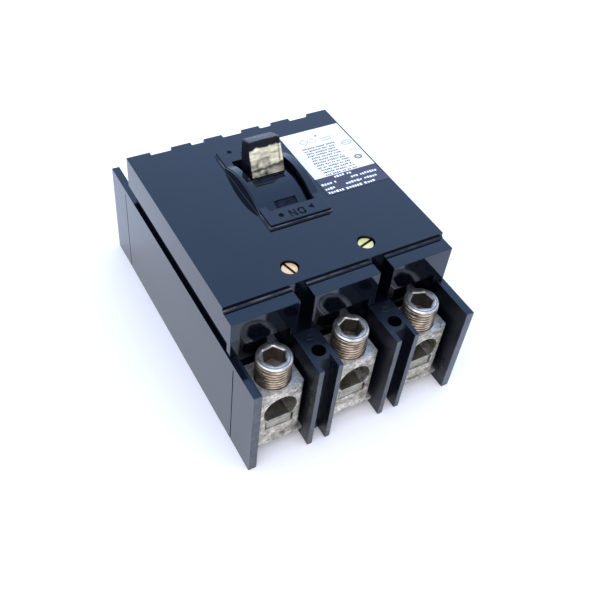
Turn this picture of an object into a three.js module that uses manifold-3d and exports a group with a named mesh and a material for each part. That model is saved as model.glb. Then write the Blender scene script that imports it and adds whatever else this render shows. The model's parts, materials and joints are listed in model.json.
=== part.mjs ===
// Three-pole moulded case circuit breaker, in millimetres.
// +X runs across the poles, -Y points to the line terminals, +Z is up towards the handle.
// The origin is the centre of the base's underside, and the model rests in the OFF position.
import * as THREE from 'three';
import { mergeVertices } from 'three/addons/utils/BufferGeometryUtils.js';
import Module from 'manifold-3d';

const wasm = await Module();
wasm.setup();

// Driving dimensions.
const GAP = 0.3;                       // clearance between neighbouring pieces
const POLES = [-39, 0, 39];            // pole centres on X

const BASE = { halfX: 57.15, halfY: 82.15, top: 54.7, floor: 4, earWall: 4, bodyWall: 5 };
const END_WALL = { inner: 50, outer: 54 };
const RIM = { top: 60.6, outer: 54.4 };
const BARRIER = { inner: 14, outer: 26, wall: 2.4, webFront: 75.5, webBevel: 1.3, centre: 20 };
const MOUNT_HOLE = { radius: 3.3, y: 70.8 };
const PARTITION = { inner: 18.3, outer: 21.3, top: 46 };
const SEAM = { y: 63, width: 0.7, depth: 0.6, below: 3 };

const COVER = { halfX: 56.6, halfY: 58.3, bottom: 60.9, top: 78, wall: 4, roof: 3.5 };
const LEDGE = { y: 50, z: 75.3, shelfZ: 75.9, shelfY: 50.75 };
const BLOCK_GAP = { inner: 16.9, outer: 24, floor: 55 };
const LIP = { inner: 55, bottom: 60 };
const FLUTE = { depth: 2.3, poleHalf: 5.5, between: [15.7, 22.8] };

const PLATE = { halfX: 16, front: -15.8, back: 43, z1: 78.7, z2: 80.2, step: 0.6 };
const CHEEK = { inner: 12, radius: 38.5, centreY: 13.25, centreZ: 45.7 };

const HANDLE_PIVOT = { y: 13.25, z: 48 };
const HANDLE = {
  front: -7.9, backTop: 1, backFoot: 3.6, foot: 28, waist: 34, top: 49.4,
  footHalf: 9.3, topHalf: 8, offTilt: 20.6,
};
const SHIELD = { outer: 32.5, inner: 30.5, halfX: 10.9, from: -63.6, to: 54.4 };
const OPENING_HALF = 19.9;

const COVER_SCREW = {
  x: 19.8, y: -40.5, head: 3.75, recess: 4.25, shaft: 2, bossRadius: 4.3,
  sunk: 1.1, slotHalf: 0.6, slotDepth: 0.8, slotTurn: { left: -75, right: 16 },
};

const LUG = { halfX: 11.4, front: -75.3, back: -55.7, bottom: 8, top: 41.8 };
const LUG_FOOT = { halfX: 12.6, front: -76.1, bottom: 6 };
const LUG_CORNER = 1.5;                // bevel on the lug's front corners
const WIRE_BORE = { radius: 8.3, z: 28.4 };
const LUG_SCREW = { radius: 8.25, y: -65.5, top: 55, tip: 38.5, socketFlats: 9.5, socketDepth: 9 };
const STRAP = { halfX: 6.4, bottom: 12.4, top: 15.6, front: -74.8, lineEnd: -22, loadEnd: -36 };
const STRAP_PAD = { bottom: 15.9, top: 21.7, stepBack: -48, stepFront: -51.4, sideGap: 0.7 };

const CROSSBAR = { y: 10, z: 22.2, radius: 6.5, halfX: 51.5, offSwing: 28.8 };
const ARM = { tip: -41, tail: 12, halfX: 4, halfZ: 2, contactY: -37 };
const CRANK = { y: -9, z: 5 };
const CHUTE = { front: -48, back: -22, wallInner: 11.2, wallOuter: 12.7, bottom: 18.5, top: 50 };
const TRIP_BAR = { y: 34, z: 44, radius: 2.5, halfX: 50 };
const BIMETAL = { front: 41.4, back: 42.6, top: 39 };

const FRAME = { inner: 13.5, outer: 15, front: -14, back: 29, bottom: 30, top: 66, foot: 6 };
const CRADLE_PIVOT = { y: -8, z: 52 };
const LINK_TOP = { y: 3, z: 54 };
const KNEE = { y: 10.8, z: 43.6 };

// Materials.
const finish = (color, roughness, metalness) => () =>
  new THREE.MeshStandardMaterial({ color, roughness, metalness });
const caseBlack = finish(0x14161b, 0.32, 0);
const handleBlack = finish(0x1b1b1d, 0.45, 0);
const aluminium = finish(0xb4b2a6, 0.55, 1);
const screwSteel = finish(0x9d968a, 0.4, 1);
const brass = finish(0xb59a55, 0.35, 1);
const labelFilm = finish(0xe4e6ec, 0.5, 0);
const copper = finish(0xa8623a, 0.4, 1);
const silver = finish(0xc8c8c4, 0.3, 1);
const steel = finish(0x83868a, 0.4, 1);
const fibre = finish(0x8d8474, 0.8, 0);
const barPlastic = finish(0x6b2f1d, 0.5, 0);

// Solids.
function toSolid(geometry) {
  const bare = geometry.index ? geometry.toNonIndexed() : geometry;
  bare.deleteAttribute('normal');
  bare.deleteAttribute('uv');
  const merged = mergeVertices(bare, 1e-4);
  return new wasm.Manifold(new wasm.Mesh({
    numProp: 3,
    vertProperties: new Float32Array(merged.attributes.position.array),
    triVerts: new Uint32Array(merged.index.array),
  }));
}

function box(x0, x1, y0, y1, z0, z1) {
  const geometry = new THREE.BoxGeometry(x1 - x0, y1 - y0, z1 - z0);
  geometry.translate((x0 + x1) / 2, (y0 + y1) / 2, (z0 + z1) / 2);
  return toSolid(geometry);
}

// A cylinder from one end to the other along Z, with its axis through (x, y).
function post(x, y, radius, z0, z1, sides = 24) {
  const geometry = new THREE.CylinderGeometry(radius, radius, z1 - z0, sides);
  geometry.rotateX(Math.PI / 2);
  geometry.translate(x, y, (z0 + z1) / 2);
  return toSolid(geometry);
}

// A cylinder along X, with its axis through (y, z).
function rod(y, z, radius, x0, x1, sides = 12) {
  const geometry = new THREE.CylinderGeometry(radius, radius, x1 - x0, sides);
  geometry.rotateZ(Math.PI / 2);
  geometry.translate((x0 + x1) / 2, y, z);
  return toSolid(geometry);
}

// An outline of [y, z] points, or a Shape in those axes, extruded along X.
function slab(outline, x0, x1, curveSegments = 24) {
  const shape = Array.isArray(outline)
    ? new THREE.Shape(outline.map(([y, z]) => new THREE.Vector2(y, z)))
    : outline;
  const geometry = new THREE.ExtrudeGeometry(shape, {
    depth: x1 - x0, bevelEnabled: false, curveSegments,
  });
  geometry.applyMatrix4(new THREE.Matrix4().set(0, 0, 1, x0, 1, 0, 0, 0, 0, 1, 0, 0, 0, 0, 0, 1));
  return toSolid(geometry);
}

const join = (...solids) => solids.reduce((sum, solid) => sum.add(solid));
const cut = (solid, ...tools) => tools.reduce((rest, tool) => rest.subtract(tool), solid);
const bothSides = (make) => [make(-1), make(1)];

// A box given for the +X side, or the same box mirrored to the -X side.
function sideBox(side, x0, x1, ...rest) {
  return side > 0 ? box(x0, x1, ...rest) : box(-x1, -x0, ...rest);
}

// A box given for the +Y end, or the same box mirrored to the -Y end.
function endBox(end, x0, x1, y0, y1, z0, z1) {
  return end > 0 ? box(x0, x1, y0, y1, z0, z1) : box(x0, x1, -y1, -y0, z0, z1);
}

function piece(name, solid, material) {
  const { vertProperties, triVerts } = solid.getMesh();
  const geometry = new THREE.BufferGeometry();
  geometry.setAttribute('position', new THREE.BufferAttribute(vertProperties, 3));
  geometry.setIndex(new THREE.BufferAttribute(triVerts, 1));
  const flat = geometry.toNonIndexed();
  flat.computeVertexNormals();
  const mesh = new THREE.Mesh(flat, material());
  mesh.name = name;
  return mesh;
}

// Base: side walls, end walls, terminal barriers and the inner partitions between the poles.
function terminalPockets(end) {
  const ear = [END_WALL.outer, BASE.halfY + 1, -1, BASE.top + 1];
  const earInner = BASE.halfX - BASE.earWall;
  return [
    endBox(end, -earInner, -BARRIER.outer, ...ear),
    endBox(end, -BARRIER.inner, BARRIER.inner, ...ear),
    endBox(end, BARRIER.outer, earInner, ...ear),
  ];
}

function barrierSlotAndHole(end, side) {
  const x = side * BARRIER.centre;
  const half = BARRIER.centre - BARRIER.inner - BARRIER.wall;
  const { webFront, webBevel } = BARRIER;
  const slot = endBox(end, x - half, x + half, webFront, BASE.halfY + 1, -1, BASE.top + 1);
  const bevel = slab([[end * (webFront - webBevel), BASE.top], [end * webFront, BASE.top - webBevel],
    [end * (webFront + 1), BASE.top + 1]], x - half, x + half);
  const hole = post(x, end * MOUNT_HOLE.y, MOUNT_HOLE.radius, -1, BASE.top + 1);
  return join(slot, bevel, hole);
}

function seamGroove(end, side) {
  const z1 = BASE.top - SEAM.below;
  const y = end * SEAM.y;
  const x = BASE.halfX - SEAM.depth;
  return sideBox(side, x, BASE.halfX + 1, y - SEAM.width / 2, y + SEAM.width / 2, -1, z1);
}

function baseRim() {
  const outer = box(-RIM.outer, RIM.outer, -END_WALL.outer, END_WALL.outer, BASE.floor, RIM.top);
  const inner = cavity(BASE.top - 1, RIM.top + 1);
  const windows = bothSides((side) => sideBox(side, BLOCK_GAP.inner + GAP, BLOCK_GAP.outer - GAP,
    -END_WALL.outer - 1, 0, BASE.top, RIM.top + 1));
  return cut(outer, inner, ...windows);
}

function cavity(z0, z1) {
  const x = BASE.halfX - BASE.bodyWall;
  return box(-x, x, -END_WALL.inner, END_WALL.inner, z0, z1);
}

function partition(side) {
  const reach = END_WALL.inner + 1;
  const wall = sideBox(side, PARTITION.inner, PARTITION.outer, -reach, reach, 2, PARTITION.top);
  const boss = post(side * COVER_SCREW.x, COVER_SCREW.y, COVER_SCREW.bossRadius, 2, 57);
  const barNotch = sideBox(side, 15, 25, CROSSBAR.y - 7.3, CROSSBAR.y + 7.3,
    CROSSBAR.z - 7.3, PARTITION.top + 1);
  const tripNotch = sideBox(side, 15, 25, TRIP_BAR.y - 3.4, TRIP_BAR.y + 3.4,
    TRIP_BAR.z - 3.4, PARTITION.top + 1);
  const screwHole = post(side * COVER_SCREW.x, COVER_SCREW.y, COVER_SCREW.shaft + GAP, 34, 60, 16);
  return cut(wall.add(boss), barNotch, tripNotch, screwHole);
}

function strapShelfAndSlot(end, x) {
  const shelf = endBox(end, x - 6, x + 6, 38, END_WALL.inner + 1, 2, STRAP.bottom - GAP);
  const slot = endBox(end, x - STRAP.halfX - GAP, x + STRAP.halfX + GAP, END_WALL.inner - 1,
    END_WALL.outer + 1, STRAP.bottom - GAP, STRAP_PAD.top + GAP);
  return { shelf, slot };
}

function makeBase() {
  let solid = box(-BASE.halfX, BASE.halfX, -BASE.halfY, BASE.halfY, 0, BASE.top);
  solid = cut(solid.add(baseRim()), cavity(BASE.floor, RIM.top + 1));
  solid = join(solid, ...bothSides(partition));
  for (const end of [-1, 1]) {
    solid = cut(solid, ...terminalPockets(end));
    for (const side of [-1, 1]) {
      solid = cut(solid, barrierSlotAndHole(end, side), seamGroove(end, side));
    }
    for (const x of POLES) {
      const { shelf, slot } = strapShelfAndSlot(end, x);
      solid = solid.add(shelf).subtract(slot);
    }
  }
  return piece('base', solid, caseBlack);
}

// Cover: a shell with hooded blocks over the line lugs and flutes in its load end.
function coverShell() {
  const { halfX, halfY, bottom } = COVER;
  const body = join(
    box(-halfX, halfX, -halfY, halfY, bottom, LEDGE.z),
    box(-halfX, halfX, -LEDGE.shelfY, halfY, bottom, LEDGE.shelfZ),
    box(-halfX, halfX, -LEDGE.y, halfY, bottom, COVER.top),
  );
  const inner = halfX - COVER.wall;
  const hollow = box(-inner, inner, -LEDGE.y + 3, halfY - 5.3, bottom - 1, COVER.top - COVER.roof);
  const hoodRoof = LEDGE.z - 3;
  const middleHood = box(-14.2, 14.2, -LIP.inner - 0.6, -LEDGE.y + 4, bottom - 1, hoodRoof);
  const sideHoods = bothSides((side) => sideBox(side, 26.7, inner, -LIP.inner - 0.6,
    -LEDGE.y + 4, bottom - 1, hoodRoof));
  return cut(body, hollow, middleHood, ...sideHoods);
}

function hoodLips(side) {
  const y0 = -COVER.halfY;
  const y1 = -LIP.inner;
  const z1 = COVER.bottom + 0.5;
  return join(
    sideBox(side, BLOCK_GAP.outer, COVER.halfX, y0, y1, LIP.bottom, z1),
    sideBox(side, 50.5, COVER.halfX, y0, y1, BLOCK_GAP.floor, z1),
    sideBox(side, BLOCK_GAP.outer, 27.3, y0, y1, BLOCK_GAP.floor, z1),
    sideBox(side, 13.6, BLOCK_GAP.inner, y0, y1, BLOCK_GAP.floor, z1),
    sideBox(side, 0, 13.8, y0, y1, LIP.bottom, z1),
  );
}

function hoodRecess(side) {
  const gap = sideBox(side, BLOCK_GAP.inner, BLOCK_GAP.outer, -COVER.halfY - 1, -LEDGE.y,
    BLOCK_GAP.floor - 1, COVER.top - 2);
  const topNotch = sideBox(side, BLOCK_GAP.inner, BLOCK_GAP.outer, -COVER.halfY - 1, -LEDGE.y,
    COVER.top - 3, COVER.top + 1);
  return gap.add(topNotch);
}

function recessWall(side) {
  return sideBox(side, BLOCK_GAP.inner - 2, BLOCK_GAP.outer + 2, -LEDGE.y, -LEDGE.y + 3,
    BLOCK_GAP.floor, COVER.top - 1);
}

function fluteCuts() {
  const y0 = COVER.halfY - FLUTE.depth;
  const y1 = COVER.halfY + 1;
  const z = [COVER.bottom - 1, COVER.top + 1];
  const atPoles = POLES.map((x) => box(x - FLUTE.poleHalf, x + FLUTE.poleHalf, y0, y1, ...z));
  const between = bothSides((side) => sideBox(side, ...FLUTE.between, y0, y1, ...z));
  return [...atPoles, ...between];
}

function cheekArch(side, radius, outerX) {
  const half = Math.sqrt(radius ** 2 - (COVER.top - 1 - CHEEK.centreZ) ** 2);
  const angle = Math.atan2(COVER.top - 1 - CHEEK.centreZ, half);
  const shape = new THREE.Shape();
  shape.absarc(CHEEK.centreY, CHEEK.centreZ, radius, angle, Math.PI - angle, false);
  shape.closePath();
  return side > 0 ? slab(shape, CHEEK.inner, outerX) : slab(shape, -outerX, -CHEEK.inner);
}

function escutcheon() {
  const { halfX, front, back, step } = PLATE;
  const wide = halfX + step;
  return join(
    box(-wide, wide, front - step, back + step, COVER.top - 1, PLATE.z1),
    box(-halfX, halfX, front, back, COVER.top - 1, PLATE.z2),
    ...bothSides((side) => cheekArch(side, CHEEK.radius - step, wide)),
    ...bothSides((side) => cheekArch(side, CHEEK.radius, halfX)),
  );
}

function makeCover() {
  const boss = (side) => post(side * COVER_SCREW.x, COVER_SCREW.y, COVER_SCREW.bossRadius,
    57 + GAP, COVER.top - 1);
  const screwHole = (side) => {
    const x = side * COVER_SCREW.x;
    return join(
      post(x, COVER_SCREW.y, COVER_SCREW.shaft + GAP, 50, COVER.top + 1, 16),
      post(x, COVER_SCREW.y, COVER_SCREW.recess, COVER.top - 2.6, COVER.top + 1, 32),
    );
  };
  const slot = box(-CHEEK.inner, CHEEK.inner, HANDLE_PIVOT.y - OPENING_HALF,
    HANDLE_PIVOT.y + OPENING_HALF, COVER.top - 6, COVER.top + 10);
  let solid = join(coverShell(), ...bothSides(hoodLips));
  solid = cut(solid, ...bothSides(hoodRecess));
  solid = join(solid, ...bothSides(recessWall), ...bothSides(boss), escutcheon());
  return piece('cover', cut(solid, slot, ...bothSides(screwHole), ...fluteCuts()), caseBlack);
}

function makeCoverScrew(side) {
  const x = side * COVER_SCREW.x;
  const { y, head, shaft, sunk, slotHalf, slotDepth, slotTurn } = COVER_SCREW;
  const face = COVER.top - sunk;
  const body = join(
    post(x, y, head, COVER.top - 2.3, face, 24),
    post(x, y, shaft, 36, COVER.top - 2, 12),
  );
  const slot = new THREE.BoxGeometry(10, 2 * slotHalf, 2 * slotDepth);
  slot.rotateZ(THREE.MathUtils.degToRad(side < 0 ? slotTurn.left : slotTurn.right));
  slot.translate(x, y, face);
  return piece(side < 0 ? 'cover_screw_left' : 'cover_screw_right', cut(body, toSolid(slot)),
    brass);
}

function makeLabel() {
  return piece('rating_label', box(20.5, 55.5, -5.9, 44.5, COVER.top, COVER.top + 0.3), labelFilm);
}

// Terminals, built for the line end at x = 0.
function lugSolid() {
  const block = box(-LUG.halfX, LUG.halfX, LUG.front, LUG.back, LUG.bottom, LUG.top);
  const foot = box(-LUG_FOOT.halfX, LUG_FOOT.halfX, LUG_FOOT.front, LUG.back, LUG_FOOT.bottom,
    LUG.bottom + 0.1);
  const bore = new THREE.CylinderGeometry(WIRE_BORE.radius, WIRE_BORE.radius, 30, 32);
  bore.translate(0, LUG_SCREW.y, WIRE_BORE.z);
  const thread = post(0, LUG_SCREW.y, LUG_SCREW.radius + GAP, 24.6, LUG.top + 1, 32);
  const slotHalf = STRAP.halfX + STRAP_PAD.sideGap;
  const strapSlot = box(-slotHalf, slotHalf, LUG.front - 1, LUG.back + 1,
    STRAP_PAD.bottom - GAP, STRAP_PAD.top + GAP);
  return cut(block, ...lugCorners(), toSolid(bore), thread, strapSlot).add(foot);
}

// Upright square bars that bevel the lug's two front corners.
function lugCorners() {
  const half = LUG_CORNER / Math.SQRT2;
  return [-1, 1].map((side) => box(-half, half, -half, half, -1, LUG.top + 1).rotate([0, 0, 45])
    .translate([side * LUG.halfX, LUG.front, 0]));
}

function lugScrewSolid() {
  const { radius, tip, top } = LUG_SCREW;
  const profile = [
    [0, tip], [radius - 1.2, tip], [radius, tip + 1.2],
    [radius, top - 1.4], [radius - 1, top], [0, top],
  ].map(([r, z]) => new THREE.Vector2(r, z));
  const blank = new THREE.LatheGeometry(profile, 32);
  blank.rotateX(Math.PI / 2);
  blank.translate(0, LUG_SCREW.y, 0);
  const across = LUG_SCREW.socketFlats / Math.sqrt(3);
  const socket = post(0, LUG_SCREW.y, across, top - LUG_SCREW.socketDepth, top + 1, 6);
  return cut(toSolid(blank), socket);
}

// The strap runs low inside the case and steps up to its pad in the lug.
function strapSolid(innerEnd) {
  const { halfX, front, bottom, top } = STRAP;
  const { stepFront, stepBack } = STRAP_PAD;
  return slab([[front, STRAP_PAD.bottom], [stepFront, STRAP_PAD.bottom], [stepFront, bottom],
    [innerEnd, bottom], [innerEnd, top], [stepBack, top], [stepBack, STRAP_PAD.top],
    [front, STRAP_PAD.top]], -halfX, halfX);
}

function terminalGroup(end, pole, number) {
  const group = new THREE.Group();
  group.position.x = pole;
  group.rotation.z = end === 'line' ? 0 : Math.PI;
  const innerEnd = end === 'line' ? STRAP.lineEnd : STRAP.loadEnd;
  group.add(piece(`${end}_lug_${number}`, lugSolid(), aluminium));
  group.add(piece(`${end}_lug_screw_${number}`, lugScrewSolid(), screwSteel));
  group.add(piece(`${end}_strap_${number}`, strapSolid(innerEnd), copper));
  return group;
}

// Handle, built upright about its own pivot.
function arcBand(inner, outer, fromDeg, toDeg, x0, x1) {
  const start = THREE.MathUtils.degToRad(90 - toDeg);
  const stop = THREE.MathUtils.degToRad(90 - fromDeg);
  const shape = new THREE.Shape();
  shape.absarc(0, 0, outer, start, stop, false);
  shape.absarc(0, 0, inner, stop, start, true);
  shape.closePath();
  return slab(shape, x0, x1, 20);
}

// The lever is the part common to its front outline and its side outline.
function makeHandle() {
  const { front, backTop, backFoot, foot, waist, top, footHalf, topHalf } = HANDLE;
  const side = slab([[front, foot], [backFoot, foot], [backFoot, waist - 2], [backTop, top],
    [front, top]], -20, 20);
  const outline = [[-footHalf, foot], [footHalf, foot], [footHalf, waist], [topHalf, top],
    [-topHalf, top], [-footHalf, waist]];
  const shape = new THREE.Shape(outline.map(([x, z]) => new THREE.Vector2(x, z)));
  const face = new THREE.ExtrudeGeometry(shape, { depth: 30, bevelEnabled: false });
  face.rotateX(Math.PI / 2);
  face.translate(0, 15, 0);
  const skirt = rod(0, 0, SHIELD.outer + GAP, -20, 20, 64);
  const stem = box(-4, 4, -5, -1, 30.1, 36);
  return piece('handle', cut(toSolid(face).intersect(side), skirt).add(stem), handleBlack);
}

function makeShield() {
  const { inner, outer, halfX, from, to } = SHIELD;
  const band = arcBand(inner, outer, from, to, -halfX, halfX);
  const stemHole = box(-4 - GAP, 4 + GAP, -5 - GAP, -1 + GAP, 25, 40);
  const floor = outer - 0.9;
  const footWindow = arcBand(floor, outer + 1, -21.5, -15.4, -6.9, 6.9);
  const frontWindow = arcBand(floor, outer + 1, -49.5, -43, -5.8, 5.8);
  return piece('handle_shield', cut(band, stemHole, footWindow, frontWindow), handleBlack);
}

function makeYoke() {
  const legs = bothSides((side) => {
    const leg = sideBox(side, 9.9, 11.4, -3.5, 3.5, 0, 29.8);
    const eye = side > 0 ? rod(0, 0, 4.2, 9.9, 11.4) : rod(0, 0, 4.2, -11.4, -9.9);
    return leg.add(eye);
  });
  const bridge = box(-11.4, 11.4, -5, 3.5, 28.2, 29.8);
  const eyes = rod(0, 0, 2 + GAP, -12, 12);
  return piece('handle_yoke', cut(join(bridge, ...legs), eyes), steel);
}

function makeSpring(side) {
  const turns = 7;
  const start = new THREE.Vector3(side * 6.2, -7.2 + 2.2, 2.5);
  const stop = new THREE.Vector3(side * 6.2, 0.5, 26);
  const axis = stop.clone().sub(start);
  const across = new THREE.Vector3(1, 0, 0);
  const other = axis.clone().normalize().cross(across);
  class Helix extends THREE.Curve {
    getPoint(t, target = new THREE.Vector3()) {
      const angle = t * turns * 2 * Math.PI;
      return target.copy(start).addScaledVector(axis, t)
        .addScaledVector(across, 1.4 * Math.cos(angle))
        .addScaledVector(other, 1.4 * Math.sin(angle));
    }
  }
  const wire = new THREE.Shape();
  wire.absarc(0, 0, 0.4, 0, 2 * Math.PI, false);
  const geometry = new THREE.ExtrudeGeometry(wire, {
    steps: turns * 7, curveSegments: 2, extrudePath: new Helix(), bevelEnabled: false,
  });
  const name = side < 0 ? 'main_spring_left' : 'main_spring_right';
  return piece(name, toSolid(geometry), steel);
}

function handleGroup() {
  const group = new THREE.Group();
  group.position.set(0, HANDLE_PIVOT.y, HANDLE_PIVOT.z);
  group.rotation.x = -THREE.MathUtils.degToRad(HANDLE.offTilt);
  group.add(makeHandle(), makeShield(), makeYoke(), makeSpring(-1), makeSpring(1));
  return group;
}

function makeHandlePin(side) {
  const { y, z } = HANDLE_PIVOT;
  const pin = side > 0 ? rod(y, z, 2, 9.7, 16.6) : rod(y, z, 2, -16.6, -9.7);
  return piece(side < 0 ? 'handle_pin_left' : 'handle_pin_right', pin, steel);
}

// Contacts: crossbar and arms are built closed about the crossbar axis, then swung open.
function makeCrossbar() {
  const ears = bothSides((side) => {
    const ear = slab([[-11, 3.4], [-11, 7], [-7, 7.4], [0, 4], [0, 0]], 5.5, 7.5);
    return side > 0 ? ear : slab([[-11, 3.4], [-11, 7], [-7, 7.4], [0, 4], [0, 0]], -7.5, -5.5);
  });
  const crankPin = rod(CRANK.y, CRANK.z, 1.2, -7.7, 7.7, 16);
  const armSlots = POLES.map((x) => box(x - ARM.halfX - GAP, x + ARM.halfX + GAP, -9, 9,
    -ARM.halfZ - GAP, ARM.halfZ + GAP));
  const bar = rod(0, 0, CROSSBAR.radius, -CROSSBAR.halfX, CROSSBAR.halfX, 32);
  return piece('crossbar', cut(join(bar, crankPin, ...ears), ...armSlots), barPlastic);
}

function armAndContact(x, number) {
  const arm = piece(`contact_arm_${number}`,
    box(-ARM.halfX, ARM.halfX, ARM.tip, ARM.tail, -ARM.halfZ, ARM.halfZ), copper);
  const pad = piece(`moving_contact_${number}`,
    post(0, ARM.contactY, 3.6, -ARM.halfZ - 2.2, -ARM.halfZ - 0.2, 16), silver);
  arm.position.x = x;
  pad.position.x = x;
  return [arm, pad];
}

function contactGroup() {
  const group = new THREE.Group();
  group.position.set(0, CROSSBAR.y, CROSSBAR.z);
  group.rotation.x = -THREE.MathUtils.degToRad(CROSSBAR.offSwing);
  group.add(makeCrossbar());
  POLES.forEach((x, i) => group.add(...armAndContact(x, i + 1)));
  return group;
}

// Arc chute: steel plates with a notch for the arm, held between two fibre cheeks.
function arcChuteSolid() {
  const { front, back, wallInner, wallOuter, bottom, top } = CHUTE;
  const cheeks = bothSides((side) => sideBox(side, wallInner, wallOuter, front, back, bottom, top));
  const plates = [];
  for (let z = bottom + 1.6; z < top - 1.2; z += 4.6) {
    const plate = box(-wallInner - 0.2, wallInner + 0.2, front + 1, back - 3, z, z + 1.2);
    plates.push(cut(plate, box(-5.6, 5.6, -36, back, z - 1, z + 3)));
  }
  return join(...cheeks, ...plates);
}

function bimetalSolid() {
  return join(
    box(-4, 4, 37, BIMETAL.back, STRAP.top + GAP, STRAP.top + GAP + 1.2),
    box(-4, 4, BIMETAL.front, BIMETAL.back, STRAP.top + GAP, BIMETAL.top),
  );
}

function magnetYokeSolid() {
  return join(
    box(-9, 9, 45, 46.5, 17.5, 31),
    ...bothSides((side) => sideBox(side, 7.5, 9, 38, 46, 17.5, 31)),
  );
}

// A flat braid from the arm's tail to the load strap, hanging in a shallow loop.
function braidSolid() {
  const curve = new THREE.SplineCurve([
    new THREE.Vector2(21.9, 15.4), new THREE.Vector2(24.5, 10.6),
    new THREE.Vector2(30, 9), new THREE.Vector2(35.2, 13.2),
  ]);
  const points = curve.getPoints(8);
  const offset = (sign) => points.map((p, i) => {
    const t = curve.getTangent(i / 8);
    return [p.x - sign * t.y * 0.7, p.y + sign * t.x * 0.7];
  });
  return slab([...offset(-1), ...offset(1).reverse()], -3.5, 3.5);
}

function poleGroup(x, number) {
  const group = new THREE.Group();
  group.position.x = x;
  const contactY = CROSSBAR.y + ARM.contactY;
  const fixedPad = post(0, contactY, 4, STRAP.top + GAP, STRAP.top + 1.9, 16);
  group.add(piece(`fixed_contact_${number}`, fixedPad, silver));
  group.add(piece(`arc_chute_${number}`, arcChuteSolid(), fibre));
  group.add(piece(`bimetal_${number}`, bimetalSolid(), steel));
  group.add(piece(`magnet_yoke_${number}`, magnetYokeSolid(), steel));
  group.add(piece(`braid_${number}`, braidSolid(), copper));
  return group;
}

// Operating mechanism in the middle pole.
function makeFrame() {
  const { front, back, bottom, top, foot, inner, outer } = FRAME;
  const outline = [
    [front, foot], [front + 7, foot], [front + 7, bottom], [back - 7, bottom], [back - 7, foot],
    [back, foot], [back, top - 8], [back - 8, top], [front + 8, top], [front, top - 8],
  ];
  const plates = [slab(outline, inner, outer), slab(outline, -outer, -inner)];
  const ties = [rod(-11, 42, 2, -outer, outer), rod(26, 34, 2, -outer, outer)];
  const pivots = [
    rod(HANDLE_PIVOT.y, HANDLE_PIVOT.z, 2 + GAP, -20, 20),
    rod(CRADLE_PIVOT.y, CRADLE_PIVOT.z, 1.8 + GAP, -20, 20),
  ];
  return piece('mechanism_frame', cut(join(...plates, ...ties), ...pivots), steel);
}

function makeCradle() {
  const plate = slab([[-11, 50], [-8, 49], [3, 51], [27.2, 54], [27.2, 60.8], [3, 57], [-10, 55]],
    -1.25, 1.25);
  return piece('cradle', join(
    plate,
    rod(CRADLE_PIVOT.y, CRADLE_PIVOT.z, 1.8, -15.4, 15.4),
    rod(LINK_TOP.y, LINK_TOP.z, 1.5, -4.6, 4.6),
  ), steel);
}

// A flat link between two pivot points, on both sides of the mechanism.
function linkPlates(from, to, half, x0, x1) {
  const dy = to.y - from.y;
  const dz = to.z - from.z;
  const length = Math.hypot(dy, dz);
  const [py, pz] = [-dz / length * half, dy / length * half];
  const outline = [
    [from.y + py, from.z + pz], [from.y - py, from.z - pz],
    [to.y - py, to.z - pz], [to.y + py, to.z + pz],
  ];
  return bothSides((side) => {
    const [a, b] = side > 0 ? [x0, x1] : [-x1, -x0];
    return join(slab(outline, a, b), rod(from.y, from.z, half, a, b), rod(to.y, to.z, half, a, b));
  });
}

function makeUpperLink() {
  const plates = linkPlates(LINK_TOP, KNEE, 2.8, 3, 4.2);
  const tie = rod((LINK_TOP.y + KNEE.y) / 2, (LINK_TOP.z + KNEE.z) / 2, 1, -3.5, 3.5, 16);
  const holes = [
    rod(LINK_TOP.y, LINK_TOP.z, 1.5 + GAP, -6, 6),
    rod(KNEE.y, KNEE.z, 1.5 + GAP, -6, 6),
  ];
  return piece('upper_link', cut(join(tie, ...plates), ...holes), steel);
}

// The crank point on the crossbar, with the contacts open.
function crankPoint() {
  const swing = -THREE.MathUtils.degToRad(CROSSBAR.offSwing);
  const y = CRANK.y * Math.cos(swing) - CRANK.z * Math.sin(swing);
  const z = CRANK.y * Math.sin(swing) + CRANK.z * Math.cos(swing);
  return { y: CROSSBAR.y + y, z: CROSSBAR.z + z };
}

function makeLowerLink() {
  const plates = linkPlates(KNEE, crankPoint(), 1.9, 8.2, 9.4);
  const kneePin = rod(KNEE.y, KNEE.z, 1.5, -9.4, 9.4);
  return piece('lower_link', join(kneePin, ...plates), steel);
}

function makeTripBar() {
  const { y, z, radius, halfX } = TRIP_BAR;
  const fingers = POLES.map((x) => join(
    box(x - 3, x + 3, y, y + 2.2, 33, z),
    box(x - 3, x + 3, y, BIMETAL.front - 0.8, 33, 36),
  ));
  const latch = join(
    box(-3, 3, 27.6, y + 1, z + 0.5, z + 4),
    box(-3, 3, 27.6, 31, z + 0.5, 61),
  );
  return piece('trip_bar', join(rod(y, z, radius, -halfX, halfX), latch, ...fingers), barPlastic);
}

const breaker = new THREE.Group();
breaker.add(makeBase(), makeCover(), makeCoverScrew(-1), makeCoverScrew(1), makeLabel());
POLES.forEach((x, i) => {
  breaker.add(terminalGroup('line', x, i + 1));
  breaker.add(terminalGroup('load', x, i + 1));
  breaker.add(poleGroup(x, i + 1));
});
breaker.add(handleGroup(), makeHandlePin(-1), makeHandlePin(1), contactGroup());
breaker.add(makeFrame(), makeCradle(), makeUpperLink(), makeLowerLink(), makeTripBar());

export default breaker;
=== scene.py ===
import json
import math
import random

import bmesh
import bpy
from mathutils import Matrix, Vector, noise


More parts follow.
